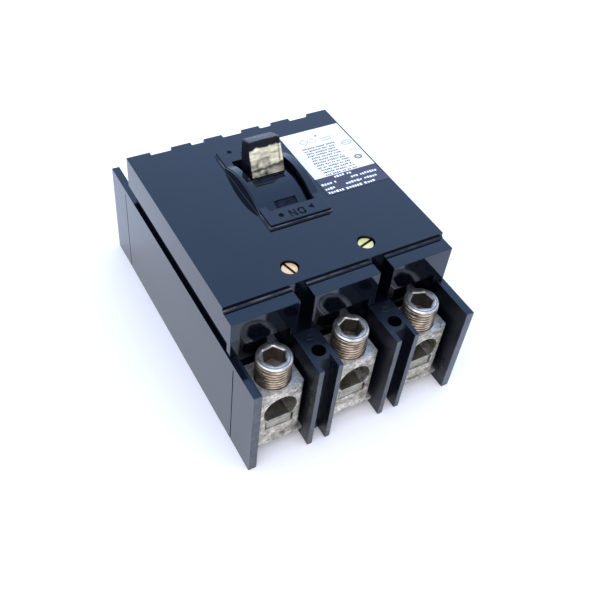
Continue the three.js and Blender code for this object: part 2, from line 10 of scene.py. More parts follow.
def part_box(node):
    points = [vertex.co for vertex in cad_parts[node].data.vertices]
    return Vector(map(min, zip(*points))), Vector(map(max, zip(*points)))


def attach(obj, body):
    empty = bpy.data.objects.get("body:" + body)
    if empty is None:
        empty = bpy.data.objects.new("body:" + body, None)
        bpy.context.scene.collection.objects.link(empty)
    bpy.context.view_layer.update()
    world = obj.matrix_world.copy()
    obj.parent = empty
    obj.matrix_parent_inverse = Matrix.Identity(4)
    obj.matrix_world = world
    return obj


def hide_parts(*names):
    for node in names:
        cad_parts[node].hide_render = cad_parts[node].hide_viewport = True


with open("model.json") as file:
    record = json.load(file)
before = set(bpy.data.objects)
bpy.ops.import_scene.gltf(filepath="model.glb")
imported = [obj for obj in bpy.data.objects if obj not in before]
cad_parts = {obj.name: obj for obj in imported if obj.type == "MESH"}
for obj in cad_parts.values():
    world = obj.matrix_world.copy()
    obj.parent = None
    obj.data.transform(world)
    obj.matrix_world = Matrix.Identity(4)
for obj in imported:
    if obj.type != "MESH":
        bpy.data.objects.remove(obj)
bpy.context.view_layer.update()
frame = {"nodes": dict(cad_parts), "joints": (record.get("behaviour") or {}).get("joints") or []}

MM = 0.001
JOINTS = {joint["name"]: joint for joint in frame["joints"]}
ENDS = {"line": -1, "load": 1}
POLES = (1, 2, 3)

# Heights and places on the mouldings.
WALL_TOP = 54.7 * MM
LEDGE_SHELF = 75.9 * MM
PLATE_STEP = 78.7 * MM
PLATE_TOP = 80.2 * MM
BAY_BACK, BAY_HALF_X = 56 * MM, 54.2 * MM
END_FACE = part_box("base")[1].y
SCREW_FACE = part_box("cover_screw_left")[1].z
BARRIER_X = 20 * MM
WEB_MARK_Y = 62.6 * MM

random.seed(7)


# ---------------------------------------------------------------- mesh tools

def add_object(name, bm, material, body, smooth_deg=35):
    """Turns a bmesh into a shaded object that rides on a CAD body."""
    mesh = bpy.data.meshes.new(name)
    bmesh.ops.recalc_face_normals(bm, faces=bm.faces)
    bm.to_mesh(mesh)
    bm.free()
    mesh.materials.append(material)
    for polygon in mesh.polygons:
        polygon.use_smooth = True
    mesh.set_sharp_from_angle(angle=math.radians(smooth_deg))
    piece = bpy.data.objects.new(name, mesh)
    bpy.context.scene.collection.objects.link(piece)
    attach(piece, body)
    return piece


def bevel(piece, width, segments, angle_deg=30):
    """Rounds the edges that are sharper than an angle."""
    modifier = piece.modifiers.new("bevel", "BEVEL")
    modifier.width = width
    modifier.segments = segments
    modifier.limit_method = "ANGLE"
    modifier.angle_limit = math.radians(angle_deg)
    modifier.harden_normals = True
    modifier.miter_outer = "MITER_ARC"


def loft(bm, rings, cap_first=True, cap_last=True):
    """Joins rings of the same number of points into a tube, with capped ends."""
    made = [[bm.verts.new(point) for point in ring] for ring in rings]
    count = len(made[0])
    for low, high in zip(made, made[1:]):
        for i in range(count):
            j = (i + 1) % count
            bm.faces.new((low[i], low[j], high[j], high[i]))
    if cap_first:
        bm.faces.new(list(reversed(made[0])))
    if cap_last:
        bm.faces.new(made[-1])
    return made


def loft_ring(bm, rings):
    """Joins rings into a closed hoop, from the last ring back to the first."""
    made = loft(bm, rings, False, False)
    count = len(made[0])
    for i in range(count):
        j = (i + 1) % count
        bm.faces.new((made[-1][i], made[-1][j], made[0][j], made[0][i]))


def box_into(bm, low, high, turn=None):
    """Adds a box between two corners, turned by a matrix where one is given."""
    verts = []
    for z in (low[2], high[2]):
        for x, y in ((low[0], low[1]), (high[0], low[1]), (high[0], high[1]), (low[0], high[1])):
            point = Vector((x, y, z))
            verts.append(bm.verts.new(turn @ point if turn else point))
    a, b, c, d, e, f, g, h = verts
    for face in ((d, c, b, a), (e, f, g, h), (a, b, f, e), (b, c, g, f), (c, d, h, g), (d, a, e, h)):
        bm.faces.new(face)


# ---------------------------------------------------------------- materials

class Nodes:
    """Short calls for building a material's node tree."""

    def __init__(self, name):
        self.material = bpy.data.materials.new(name)
        self.material.use_nodes = True
        self.tree = self.material.node_tree
        self.shader = self.tree.nodes["Principled BSDF"]

    def set(self, **values):
        for key, value in values.items():
            self.shader.inputs[key.replace("_", " ")].default_value = value

    def link(self, source, target):
        self.tree.links.new(source, target)

    def node(self, kind, **settings):
        made = self.tree.nodes.new(kind)
        for key, value in settings.items():
            setattr(made, key, value)
        return made

    def position(self, scale=(1, 1, 1)):
        coordinates = self.node("ShaderNodeTexCoord")
        mapping = self.node("ShaderNodeMapping")
        mapping.inputs["Scale"].default_value = scale
        self.link(coordinates.outputs["Object"], mapping.inputs["Vector"])
        return mapping.outputs["Vector"]

    def noise(self, scale, detail=4, roughness=0.5, stretch=(1, 1, 1)):
        made = self.node("ShaderNodeTexNoise")
        made.inputs["Scale"].default_value = scale
        made.inputs["Detail"].default_value = detail
        made.inputs["Roughness"].default_value = roughness
        self.link(self.position(stretch), made.inputs["Vector"])
        return made.outputs["Fac"]

    def ramp(self, source, low, high, start=0.0, stop=1.0):
        made = self.node("ShaderNodeMapRange")
        made.inputs["From Min"].default_value = low
        made.inputs["From Max"].default_value = high
        made.inputs["To Min"].default_value = start
        made.inputs["To Max"].default_value = stop
        self.link(source, made.inputs["Value"])
        return made.outputs["Result"]

    def math(self, operation, a, b):
        made = self.node("ShaderNodeMath", operation=operation)
        for socket, value in zip(made.inputs, (a, b)):
            if isinstance(value, (int, float)):
                socket.default_value = value
            else:
                self.link(value, socket)
        return made.outputs["Value"]

    def mix(self, fac, a, b):
        made = self.node("ShaderNodeMix", data_type="RGBA")
        self.link(fac, made.inputs["Factor"])
        # Sockets 6 and 7 are a colour mix's A and B, and output 2 is its result.
        for socket, value in ((made.inputs[6], a), (made.inputs[7], b)):
            if isinstance(value, tuple):
                socket.default_value = (*value, 1)
            else:
                self.link(value, socket)
        return made.outputs[2]

    def colour(self, source):
        self.link(source, self.shader.inputs["Base Color"])

    def roughness(self, source):
        self.link(source, self.shader.inputs["Roughness"])

    def bump(self, height, strength, distance):
        made = self.node("ShaderNodeBump")
        made.inputs["Strength"].default_value = strength
        made.inputs["Distance"].default_value = distance
        self.link(height, made.inputs["Height"])
        self.link(made.outputs["Normal"], self.shader.inputs["Normal"])

    def attribute(self, name):
        return self.node("ShaderNodeAttribute", attribute_name=name).outputs["Fac"]

    def facing_up(self):
        geometry = self.node("ShaderNodeNewGeometry")
        parts = self.node("ShaderNodeSeparateXYZ")
        self.link(geometry.outputs["Normal"], parts.inputs["Vector"])
        return parts.outputs["Z"]

    def place(self, axis):
        """The distance along an axis of the object's own space."""
        parts = self.node("ShaderNodeSeparateXYZ")
        self.link(self.position(), parts.inputs["Vector"])
        return parts.outputs[axis]

    def off_centre(self, axis):
        """The distance from the middle along an axis, on either side."""
        return self.math("ABSOLUTE", self.place(axis), 0.0)

    def between(self, source, low, high, soft):
        """1 between two values, falling to 0 over a soft edge on each side."""
        return self.math("MULTIPLY", self.ramp(source, low - soft, low),
                         self.ramp(source, high, high + soft, 1.0, 0.0))


def case_plastic(name, bays=False, dust_and_highlight_shelves=()):
    """Gloss black moulding with faint grain and rub marks. Where bays are asked for, the
    terminal bays are dulled by dirt and the end faces scuffed. A thin pale line lies on the
    narrow shelves at the given heights: dust, with a painted edge highlight."""
    n = Nodes(name)
    n.set(IOR=1.5, Specular_Tint=(0.62, 0.79, 1.0, 1))
    clouds = n.noise(28, 5, 0.6)
    body = n.mix(n.ramp(clouds, 0.35, 0.7), (0.0010, 0.0013, 0.0030), (0.0024, 0.0032, 0.0062))
    dust = n.math("MULTIPLY", n.ramp(n.noise(900, 3, 0.7), 0.62, 0.85),
                  n.ramp(n.facing_up(), 0.6, 1.0, 0.0, 0.05))
    tone = n.mix(dust, body, (0.30, 0.32, 0.36))
    for height in dust_and_highlight_shelves:
        # Painted highlight mixed with dust: a thin pale line along each shelf, on faces that look up.
        film = n.between(n.place("Z"), height - 0.12 * MM, height + 0.05 * MM, 0.08 * MM)
        film = n.math("MULTIPLY", film, n.ramp(n.facing_up(), 0.2, 0.6))
        film = n.math("MULTIPLY", film, n.ramp(n.noise(130, 4, 0.6), 0.38, 0.66, 0.04, 0.42))
        tone = n.mix(film, tone, (0.24, 0.24, 0.25))
    rubs = n.ramp(n.noise(60, 6, 0.65, (1, 14, 3)), 0.52, 0.72, 0.0, 0.05)
    smears = n.ramp(n.noise(18, 3, 0.5), 0.3, 0.75, 0.05, 0.11)
    rough = n.math("ADD", smears, rubs)
    if bays:
        deep = n.ramp(n.off_centre("Y"), BAY_BACK, BAY_BACK + 3 * MM)
        inside = n.ramp(n.off_centre("X"), BAY_HALF_X, BAY_HALF_X + 0.4 * MM, 1.0, 0.0)
        dirt = n.ramp(n.noise(160, 5, 0.65), 0.3, 0.7, 0.16, 0.34)
        rough = n.math("ADD", rough, n.math("MULTIPLY", n.math("MULTIPLY", deep, inside), dirt))
        ends = n.ramp(n.off_centre("Y"), END_FACE - 0.45 * MM, END_FACE - 0.15 * MM)
        scuffs = n.ramp(n.noise(240, 5, 0.65), 0.3, 0.65, 0.25, 0.8)
        tone = n.mix(n.math("MULTIPLY", ends, scuffs), tone, (0.075, 0.072, 0.075))
    n.colour(tone)
    n.roughness(rough)
    n.bump(n.noise(420, 5, 0.6), 0.08, 0.00005)
    return n.material


def handle_plastic():
    """Gloss black lever, rubbed to a pale cream where the wear attribute says; that attribute also holds a
    painted line of shade.
    """
    n = Nodes("handle_plastic")
    n.set(IOR=1.24)
    body = n.mix(n.noise(70, 4), (0.002, 0.002, 0.004), (0.007, 0.007, 0.011))
    dusty = n.math("MULTIPLY", n.ramp(n.noise(650, 5, 0.7), 0.45, 0.75),
                   n.ramp(n.facing_up(), 0.6, 0.95, 0.0, 0.30))
    grained = n.mix(dusty, body, (0.34, 0.34, 0.36))
    streaks = n.ramp(n.noise(230, 6, 0.7, (0.6, 2.2, 2.2)), 0.30, 0.60)
    pale = n.mix(streaks, (0.30, 0.28, 0.19), (0.95, 0.87, 0.62))
    n.colour(n.mix(n.attribute("wear_and_shade"), grained, pale))
    n.roughness(n.ramp(n.noise(90, 5), 0.3, 0.7, 0.16, 0.34))
    n.bump(n.noise(500, 5), 0.2, 0.00006)
    return n.material


def painted_window_shade():
    """Painted shade: a dull black sheet on the floor of the shield's windows, standing in for the shade in
    them, with faint scuffs.
    """
    n = Nodes("painted_window_shade")
    n.set(IOR=1.4, Specular_IOR_Level=0.15)
    n.colour(n.mix(n.ramp(n.noise(300, 5, 0.6), 0.4, 0.8), (0.004, 0.006, 0.016), (0.016, 0.020, 0.040)))
    n.roughness(n.ramp(n.noise(200, 4), 0.3, 0.7, 0.6, 0.85))
    n.bump(n.noise(600, 4), 0.2, 0.00006)
    return n.material


def metal(name, dark, light, rough, grain, bump=0.2, depth=0.0001, face_z=None):
    """Metal with cloudy colour, uneven polish and a surface grain of the given scale.
    Below face_z, where that is given, it is painted darker, as the shade in a screw's slot."""
    n = Nodes(name)
    n.set(Metallic=1.0)
    tone = n.mix(n.ramp(n.noise(grain * 0.35, 5, 0.6), 0.3, 0.7), dark, light)
    if face_z:
        # Painted shade: darker below the screw's face, in its slot.
        dirt = n.ramp(n.place("Z"), face_z - 0.45 * MM, face_z - 0.15 * MM, 0.97, 0.0)
        tone = n.mix(dirt, tone, (0.030, 0.022, 0.014))
    n.colour(tone)
    n.roughness(n.ramp(n.noise(grain, 5, 0.6), 0.3, 0.7, rough * 0.75, rough * 1.3))
    n.bump(n.noise(grain * 2.2, 6, 0.65), bump, depth)
    return n.material


def lug_metal():
    """Tumbled aluminium: mottled and pitted, with painted light: darker on its sides and lighter on top."""
    n = Nodes("lug_aluminium")
    n.set(Metallic=0.92)
    cloud = n.ramp(n.noise(300, 6, 0.7), 0.34, 0.66)
    # Painted light: lit and shaded copies of the metal, lighter where it faces up.
    sides = n.mix(cloud, (0.19, 0.175, 0.14), (0.86, 0.79, 0.68))
    top = n.mix(cloud, (0.48, 0.47, 0.46), (1.0, 0.97, 0.93))
    lit_and_shaded_tone = n.mix(n.ramp(n.facing_up(), 0.35, 0.85), sides, top)
    stain = n.ramp(n.noise(120, 5, 0.6), 0.50, 0.66, 0.0, 0.6)
    stained = n.mix(stain, lit_and_shaded_tone, (0.36, 0.35, 0.20))
    grime = n.ramp(n.noise(210, 6, 0.7, (1, 1, 2.2)), 0.56, 0.68, 0.0, 0.75)
    stained = n.mix(grime, stained, (0.050, 0.046, 0.032))
    pits = n.ramp(n.noise(1100, 3, 0.6), 0.57, 0.68, 0.0, 0.85)
    n.colour(n.mix(pits, stained, (0.05, 0.05, 0.04)))
    n.roughness(n.ramp(n.noise(500, 4), 0.3, 0.7, 0.30, 0.55))
    n.bump(n.noise(800, 6, 0.75), 0.6, 0.00018)
    return n.material


def thread_metal():
    """Plated steel: bronze on the thread, with painted shade in its roots, a bright rim and painted shade
    in the socket.
    """
    n = Nodes("screw_steel")
    n.set(Metallic=0.95)
    grime = n.attribute("grime")
    clean = n.mix(n.ramp(n.noise(300, 5), 0.3, 0.7), (0.32, 0.30, 0.275), (0.76, 0.71, 0.65))
    crest = n.mix(n.ramp(n.noise(260, 5), 0.3, 0.7), (0.26, 0.19, 0.12), (0.66, 0.54, 0.40))
    tone = n.mix(n.ramp(grime, 0.0, 0.3), clean, crest)
    # Painted shade: the thread's roots and the crease below the rim turn dark.
    tone = n.mix(n.ramp(grime, 0.35, 0.75), tone, (0.022, 0.014, 0.009))
    # Painted shade: darker in the hexagon socket and in a ring on the rim.
    painted_shade = n.math("MULTIPLY", n.attribute("painted_shade"), n.ramp(n.noise(420, 5, 0.65), 0.3, 0.7, 0.7, 1.0))
    n.colour(n.mix(painted_shade, tone, (0.030, 0.033, 0.042)))
    n.roughness(n.ramp(n.noise(420, 5), 0.3, 0.7, 0.24, 0.42))
    n.bump(n.noise(800, 5), 0.3, 0.00009)
    return n.material


def film(name, first, second, rough=0.42, level=0.5):
    """Printed film with a faint paper-like mottle."""
    n = Nodes(name)
    n.set(IOR=1.45, Specular_IOR_Level=level)
    n.colour(n.mix(n.noise(240, 4), first, second))
    n.roughness(n.ramp(n.noise(120, 4), 0.3, 0.7, rough * 0.8, rough * 1.2))
    n.bump(n.noise(900, 3), 0.08, 0.00003)
    return n.material


def resin(name, dark, light, rough):
    """Opaque moulded or pressed board with fibre streaks."""
    n = Nodes(name)
    n.set(IOR=1.5)
    n.colour(n.mix(n.noise(180, 6, 0.7, (1, 6, 1)), dark, light))
    n.roughness(n.ramp(n.noise(240, 4), 0.3, 0.7, rough * 0.8, rough * 1.2))
    n.bump(n.noise(600, 4), 0.2, 0.0001)
    return n.material


def floor_paper():
    """Plain pale paper under the breaker."""
    n = Nodes("floor_paper")
    n.set(IOR=1.3, Specular_IOR_Level=0.1)
    n.colour(n.mix(n.noise(3, 2), (0.91, 0.87, 0.85), (0.93, 0.89, 0.87)))
    n.roughness(n.ramp(n.noise(8, 2), 0.3, 0.7, 0.8, 0.9))
    return n.material


CASE = case_plastic("case_plastic")
BASE = case_plastic("base_plastic", bays=True)
COVER = case_plastic("cover_plastic", dust_and_highlight_shelves=(LEDGE_SHELF, PLATE_STEP))
HANDLE = handle_plastic()
LUG = lug_metal()
THREAD = thread_metal()
BRASS = metal("brass", (0.52, 0.29, 0.14), (0.95, 0.61, 0.34), 0.34, 260, face_z=SCREW_FACE)
BRASS_OLD = metal("brass_tarnished", (0.50, 0.43, 0.14), (0.92, 0.78, 0.34), 0.36, 260,
                  face_z=SCREW_FACE)
TINNED = metal("tinned_copper", (0.16, 0.15, 0.11), (0.58, 0.56, 0.47), 0.42, 420, 0.5, 0.00016)
COPPER = metal("copper", (0.52, 0.26, 0.14), (0.80, 0.46, 0.30), 0.34, 220)
SILVER = metal("silver", (0.66, 0.66, 0.64), (0.88, 0.88, 0.86), 0.30, 300)
ZINC = metal("zinc_plate", (0.42, 0.42, 0.40), (0.66, 0.66, 0.62), 0.36, 240)
FIBRE = resin("fibre_board", (0.24, 0.19, 0.13), (0.42, 0.35, 0.26), 0.75)
PHENOLIC = resin("phenolic", (0.10, 0.030, 0.018), (0.20, 0.065, 0.036), 0.42)
WHITE_FILM = film("label_white", (0.70, 0.66, 0.61), (0.80, 0.76, 0.71))
BAND_FILM = film("label_band", (0.024, 0.022, 0.042), (0.046, 0.042, 0.068))
DARK_INK = film("label_dark_ink", (0.020, 0.021, 0.040), (0.050, 0.050, 0.080))
LIGHT_INK = film("label_light_ink", (0.24, 0.26, 0.28), (0.34, 0.36, 0.38))
PALE_INK = film("label_pale_ink", (0.72, 0.73, 0.78), (0.88, 0.88, 0.92))
WINDOW_SHADE = painted_window_shade()
# Painted shade: the letters and marks are flat dull sheets whose black stands in for the shade in recessed
# moulding.
RECESS_SHADE = ((0.0010, 0.0012, 0.0030), (0.0030, 0.0032, 0.0055))
MARK_RECESS_SHADE = film("mark_recess", *RECESS_SHADE, 0.7, 0.08)
LETTER_RECESS_SHADE = film("letter_recess", *RECESS_SHADE, 0.7, 0.22)


# ---------------------------------------------------------------- CAD nodes that stay

def finish_cad(node, material, width, segments=3):
    """Gives a CAD node its material, rounded edges and clean shading."""
    piece = frame["nodes"][node]
    piece.data.materials.clear()
    piece.data.materials.append(material)
    weld = piece.modifiers.new("weld", "WELD")
    weld.merge_threshold = 2e-6
    flat = piece.modifiers.new("dissolve", "DECIMATE")
    flat.decimate_type = "DISSOLVE"
    flat.angle_limit = math.radians(0.6)
    if width:
        bevel(piece, width, segments, 32)
    for polygon in piece.data.polygons:
        polygon.use_smooth = True
    level = piece.modifiers.new("level_normals", "WEIGHTED_NORMAL")
    level.weight = 100
    level.keep_sharp = True


def finish_kept_nodes():
    """Every CAD node but the lug screws, the lever and the label stays as it is."""
    finish_cad("base", BASE, 0.35 * MM)
    finish_cad("cover", COVER, 0.30 * MM)
    finish_cad("handle_shield", CASE, 0.20 * MM)
    finish_cad("cover_screw_left", BRASS, 0.18 * MM)
    finish_cad("cover_screw_right", BRASS_OLD, 0.18 * MM)
    for end in ENDS:
        for pole in POLES:
            finish_cad(f"{end}_lug_{pole}", LUG, 0.35 * MM)
            finish_cad(f"{end}_strap_{pole}", TINNED, 0.30 * MM)
    for pole in POLES:
        for node in ("fixed_contact", "moving_contact"):
            finish_cad(f"{node}_{pole}", SILVER, 0.25 * MM)
        finish_cad(f"contact_arm_{pole}", COPPER, 0.40 * MM)
        finish_cad(f"braid_{pole}", COPPER, 0.15 * MM)
        finish_cad(f"arc_chute_{pole}", FIBRE, 0.10 * MM, 1)
        finish_cad(f"bimetal_{pole}", ZINC, 0.15 * MM)
        finish_cad(f"magnet_yoke_{pole}", ZINC, 0.20 * MM)
    for node in ("crossbar", "trip_bar"):
        finish_cad(node, PHENOLIC, 0.25 * MM)
    for node in ("mechanism_frame", "cradle", "upper_link", "lower_link", "handle_yoke",
                 "handle_pin_left", "handle_pin_right"):
        finish_cad(node, ZINC, 0.15 * MM, 2)
    for node in ("main_spring_left", "main_spring_right"):
        finish_cad(node, ZINC, 0)


# ---------------------------------------------------------------- lug screws

SCREW_SIDES = 72
THREAD_PITCH = 1.65 * MM
THREAD_DEPTH = 0.70 * MM
VALLEY_SHARE = 1.35
THREAD_STEPS = 96
THREAD_START, THREAD_END, THREAD_FADE = 0.9 * MM, 1.9 * MM, 0.8 * MM
SOCKET_APOTHEM = 4.75 * MM
# The rim's rings from the thread inwards: how far in from the thread's crest and down from
# the top, in millimetres, then the share of bronze tone, which above 0.35 turns to painted root shade, and
# the share of painted shade.
RIM_RINGS = (
    (0.55, 1.55, 1.0, 0.3), (0.12, 1.20, 0.10, 0.0), (0.10, 0.55, 0.0, 0.0), (0.55, 0.06, 0.0, 0.0),
    (0.70, 0.0, 0.0, 0.0), (1.10, 0.05, 0.05, 0.75), (1.35, 0.05, 0.05, 0.55), (1.55, 0.0, 0.0, 0.0),
)
SCREW_TURNS = {"line": (8, 25, 40), "load": (15, 50, 33)}


def thread_depth(angle, z):
    """How far below the crest a point of the thread lies, from 0 to 1."""
    phase = (z / THREAD_PITCH - angle / (2 * math.pi)) % 1.0
    valley = 1 - abs(2 * phase - 1) * VALLEY_SHARE
    return min(1.0, max(0.0, valley))


def circle(middle, radius, z):
    """A ring of points round a screw's axis."""
    step = 2 * math.pi / SCREW_SIDES
    return [Vector((middle.x + radius * math.cos(i * step), middle.y + radius * math.sin(i * step), z))
            for i in range(SCREW_SIDES)]


def hexagon(middle, apothem, z, turn):
    """A hexagon with as many points as the circles, so that both join in a loft."""
    points = []
    for i in range(SCREW_SIDES):
        angle = i * 2 * math.pi / SCREW_SIDES
        inside = (angle - turn) % (math.pi / 3) - math.pi / 6
        radius = apothem / math.cos(inside)
        points.append(Vector((middle.x + radius * math.cos(angle),
                              middle.y + radius * math.sin(angle), z)))
    return points


def threaded_ring(middle, radius, z, fade):
    """One ring of the thread, with how deep each of its points lies."""
    points, grime = [], []
    for i in range(SCREW_SIDES):
        angle = i * 2 * math.pi / SCREW_SIDES
        depth = thread_depth(angle, z) * fade
        r = radius - THREAD_DEPTH * depth
        points.append(Vector((middle.x + r * math.cos(angle), middle.y + r * math.sin(angle), z)))
        grime.append(depth)
    return points, grime


def make_lug_screw(node, turn_deg):
    """A threaded set screw with a chamfered rim and a hexagon socket."""
    low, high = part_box(node)
    middle = (low + high) / 2
    radius = (high.x - low.x) / 2
    rings = [circle(middle, radius * 0.80, low.z)]
    grime, painted_shade = [[0.6] * SCREW_SIDES], [0.0]
    z0, z1 = low.z + THREAD_START, high.z - THREAD_END
    for k in range(THREAD_STEPS + 1):
        z = z0 + (z1 - z0) * k / THREAD_STEPS
        fade = min(1.0, (z1 - z) / THREAD_FADE)
        points, depths = threaded_ring(middle, radius, z, fade)
        rings.append(points)
        # The value rises with depth in the thread and is painted as dark shade in the roots.
        grime.append([0.3 + 0.7 * depth for depth in depths])
        painted_shade.append(0.0)
    turn = math.radians(turn_deg)
    rim = [(circle(middle, radius - inset * MM, high.z - drop * MM), brown, black)
           for inset, drop, brown, black in RIM_RINGS]
    # The socket's rings carry painted shade, darker towards its floor.
    rim += [
        (circle(middle, SOCKET_APOTHEM * 1.26, high.z), 0.0, 0.0),
        (hexagon(middle, SOCKET_APOTHEM + 0.40 * MM, high.z - 0.05 * MM, turn), 0.0, 0.15),
        (hexagon(middle, SOCKET_APOTHEM, high.z - 0.5 * MM, turn), 0.1, 0.55),
        (hexagon(middle, SOCKET_APOTHEM, high.z - 8.6 * MM, turn), 0.2, 0.9),
        (circle(middle, SOCKET_APOTHEM * 0.80, high.z - 8.7 * MM), 0.2, 0.85),
        (circle(middle, SOCKET_APOTHEM * 0.10, high.z - 8.95 * MM), 0.2, 0.8),
    ]
    for points, brown, black in rim:
        rings.append(points)
        grime.append([brown] * SCREW_SIDES)
        painted_shade.append(black)
    bm = bmesh.new()
    bronze_and_root_shade_layer = bm.verts.layers.float.new("grime")
    painted_shade_layer = bm.verts.layers.float.new("painted_shade")
    for ring, browns, black in zip(loft(bm, rings), grime, painted_shade):
        for vert, brown in zip(ring, browns):
            vert[bronze_and_root_shade_layer] = brown
            vert[painted_shade_layer] = black
    piece = add_object(f"{node}_threaded", bm, THREAD, node, 40)
    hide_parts(node)


def make_lug_screws():
    for end in ENDS:
        for pole, turn_deg in zip(POLES, SCREW_TURNS[end]):
            make_lug_screw(f"{end}_lug_screw_{pole}", turn_deg)


# ---------------------------------------------------------------- handle

# The lever is made upright on its pivot, with its front to -Y, then tilted back to rest.
HANDLE_TILT = math.radians(20.6)
PIVOT = Vector(JOINTS["handle_swing"]["pos_m"])
TO_REST = Matrix.Translation(PIVOT) @ Matrix.Rotation(-HANDLE_TILT, 4, "X")
LEVER_FRONT = -7.9 * MM
LEVER_BACK_FOOT = 3.6 * MM
LEVER_BACK_TOP = 1.0 * MM
LEVER_WAIST = 33 * MM
LEVER_TOP = 49.4 * MM
LEVER_SKIRT = 32.8 * MM
LEVER_HALF_FOOT = 9.3 * MM
LEVER_HALF_TOP = 8.0 * MM
LEVER_CORNER = 0.7 * MM
LEVER_ROUND = 0.6 * MM
LEVER_HOLLOW = 0.45 * MM
CORNER_STEPS, SIDE_STEPS, LEVER_LEVELS = 8, 16, 64
STEM = ((-4 * MM, -5 * MM, 30.1 * MM), (4 * MM, -1 * MM, 33.5 * MM))
# The shield's windows: the angles that each one spans round the pivot, and its half width.
WINDOWS = ((-21.4, -15.5, 6.8 * MM), (-49.4, -43.1, 5.7 * MM))
WINDOW_FLOOR = (31.62 * MM, 31.95 * MM)


def corner_point(x, y, degrees, height):
    """A point on the rounded corner whose sharp tip would be at (x, y)."""
    a = math.radians(degrees)
    return Vector((x - math.copysign(LEVER_CORNER, x) + LEVER_CORNER * math.cos(a),
                   y - math.copysign(LEVER_CORNER, y) + LEVER_CORNER * math.sin(a), height))


def lever_ring(height, inset=0.0):
    """A rounded rectangle across the lever, with its front hollowed a little."""
    t = max(0.0, min(1.0, (height - LEVER_WAIST) / (LEVER_TOP - LEVER_WAIST)))
    half = LEVER_HALF_FOOT + (LEVER_HALF_TOP - LEVER_HALF_FOOT) * t - inset
    back = LEVER_BACK_FOOT + (LEVER_BACK_TOP - LEVER_BACK_FOOT) * t - inset
    front = LEVER_FRONT + inset
    corners = ((half, back, 0), (-half, back, 90), (-half, front, 180), (half, front, 270))
    points = []
    for k, (x, y, start) in enumerate(corners):
        points += [corner_point(x, y, start + 90 * i / CORNER_STEPS, height)
                   for i in range(CORNER_STEPS + 1)]
        here, there = points[-1], corner_point(*corners[(k + 1) % 4], height)
        points += [here.lerp(there, i / SIDE_STEPS) for i in range(1, SIDE_STEPS)]
    hollow = LEVER_HOLLOW * min(1.0, max(0.0, (height - LEVER_WAIST) / (4 * MM)))
    for p in points:
        if p.y < front + 0.05 * MM:
            p.y += hollow * max(0.0, 1 - (p.x / (half - LEVER_CORNER)) ** 4)
    return points


def smooth(value, low, high):
    """Rises gently from 0 to 1 between two values."""
    t = max(0.0, min(1.0, (value - low) / (high - low)))
    return t * t * (3 - 2 * t)


def lever_wear_and_shade(point):
    """Share of bare pale surface on the lever's front, in the lever's own frame, cut by a painted line of
    shade up its right.
    """
    if point.y > LEVER_FRONT + 1.2 * MM:
        return 0.0
    u = point.x / LEVER_HALF_TOP
    v = (point.z - LEVER_WAIST) / (LEVER_TOP - LEVER_WAIST)
    jag = noise.noise(Vector((point.x * 320, 3.1, 0.4))) * 0.035
    ragged = noise.noise(Vector((point.x * 700, 8.3, point.z * 500))) * 0.03
    right = (u + 1) / 2
    # Bare up to a ragged line below the top, with a grey smudge low on the left.
    band = 1 - smooth(v, 0.73 + jag + ragged, 0.79 + jag + ragged)
    cloud = (1 - smooth(v, 0.40, 0.50 + 2 * ragged)) * (1 - smooth(u, 0.1, 0.6))
    smudge = 0.62 * cloud * (0.8 + noise.noise(Vector((point.x * 500, 4.2, point.z * 500))))
    # A dark line slants across the foot and dirt lies below it. Up the right runs a painted dark line of
    # shade, where the front turns into the rounded corner.
    slant = 0.13 + 0.08 * right * right + ragged
    line = 0.95 * math.exp(-((v - slant) / (0.030 + 0.025 * right)) ** 2)
    below = (1 - smooth(v, slant - 0.03, slant)) * (0.15 + 0.55 * right)
    # Painted shade: a thin dark line up the right of the front.
    corner_shade_line = 0.85 * math.exp(-((u - 0.86) / 0.035) ** 2) * smooth(v, 0.22, 0.32)
    sides = smooth(1.10 - abs(u), 0.0, 0.05)
    patch = 0.92 + 0.16 * noise.noise(Vector((point.x * 200, 1.7, point.z * 700)))
    share = band * sides * patch * (1 - smudge) * (1 - line) * (1 - corner_shade_line) * (1 - below)
    return max(0.0, min(1.0, share))


def make_handle():
    """The lever, from its curved foot on the shield to its rounded top, and a stem below."""
    curved = [Vector((p.x, p.y, math.sqrt(LEVER_SKIRT ** 2 - p.y ** 2)))
              for p in lever_ring(LEVER_WAIST)]
    rings = [curved]
    for k in range(1, LEVER_LEVELS + 1):
        height = LEVER_WAIST + (LEVER_TOP - LEVER_ROUND - LEVER_WAIST) * k / LEVER_LEVELS
        share = min(1.0, k / 8)
        ring = lever_ring(height)
        start = [Vector((p.x, p.y, c.z + (height - c.z) * share)) for p, c in zip(ring, curved)]
        rings.append(start if share < 1 else ring)
    for angle in (20, 40, 60, 78, 90):
        a = math.radians(angle)
        rings.append(lever_ring(LEVER_TOP - LEVER_ROUND * (1 - math.sin(a)),
                                LEVER_ROUND * (1 - math.cos(a))))
    bm = bmesh.new()
    layer = bm.verts.layers.float.new("wear_and_shade")
    loft(bm, rings)
    subdivide_front(bm)
    for vert in bm.verts:
        vert[layer] = lever_wear_and_shade(vert.co)
    stem = bmesh.new()
    box_into(stem, *STEM)
    join_bmesh(bm, stem)
    bmesh.ops.transform(bm, matrix=TO_REST, verts=bm.verts)
    piece = add_object("handle_lever", bm, HANDLE, "handle_unit", 40)
    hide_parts("handle")


def subdivide_front(bm):
    """Makes the long front strips fine enough to carry the wear pattern."""
    edges = [e for e in bm.edges
             if all(v.co.y < LEVER_FRONT + 0.6 * MM for v in e.verts)
             and abs(e.verts[0].co.x - e.verts[1].co.x) > 0.5 * MM]
    bmesh.ops.subdivide_edges(bm, edges=edges, cuts=2, use_grid_fill=True)


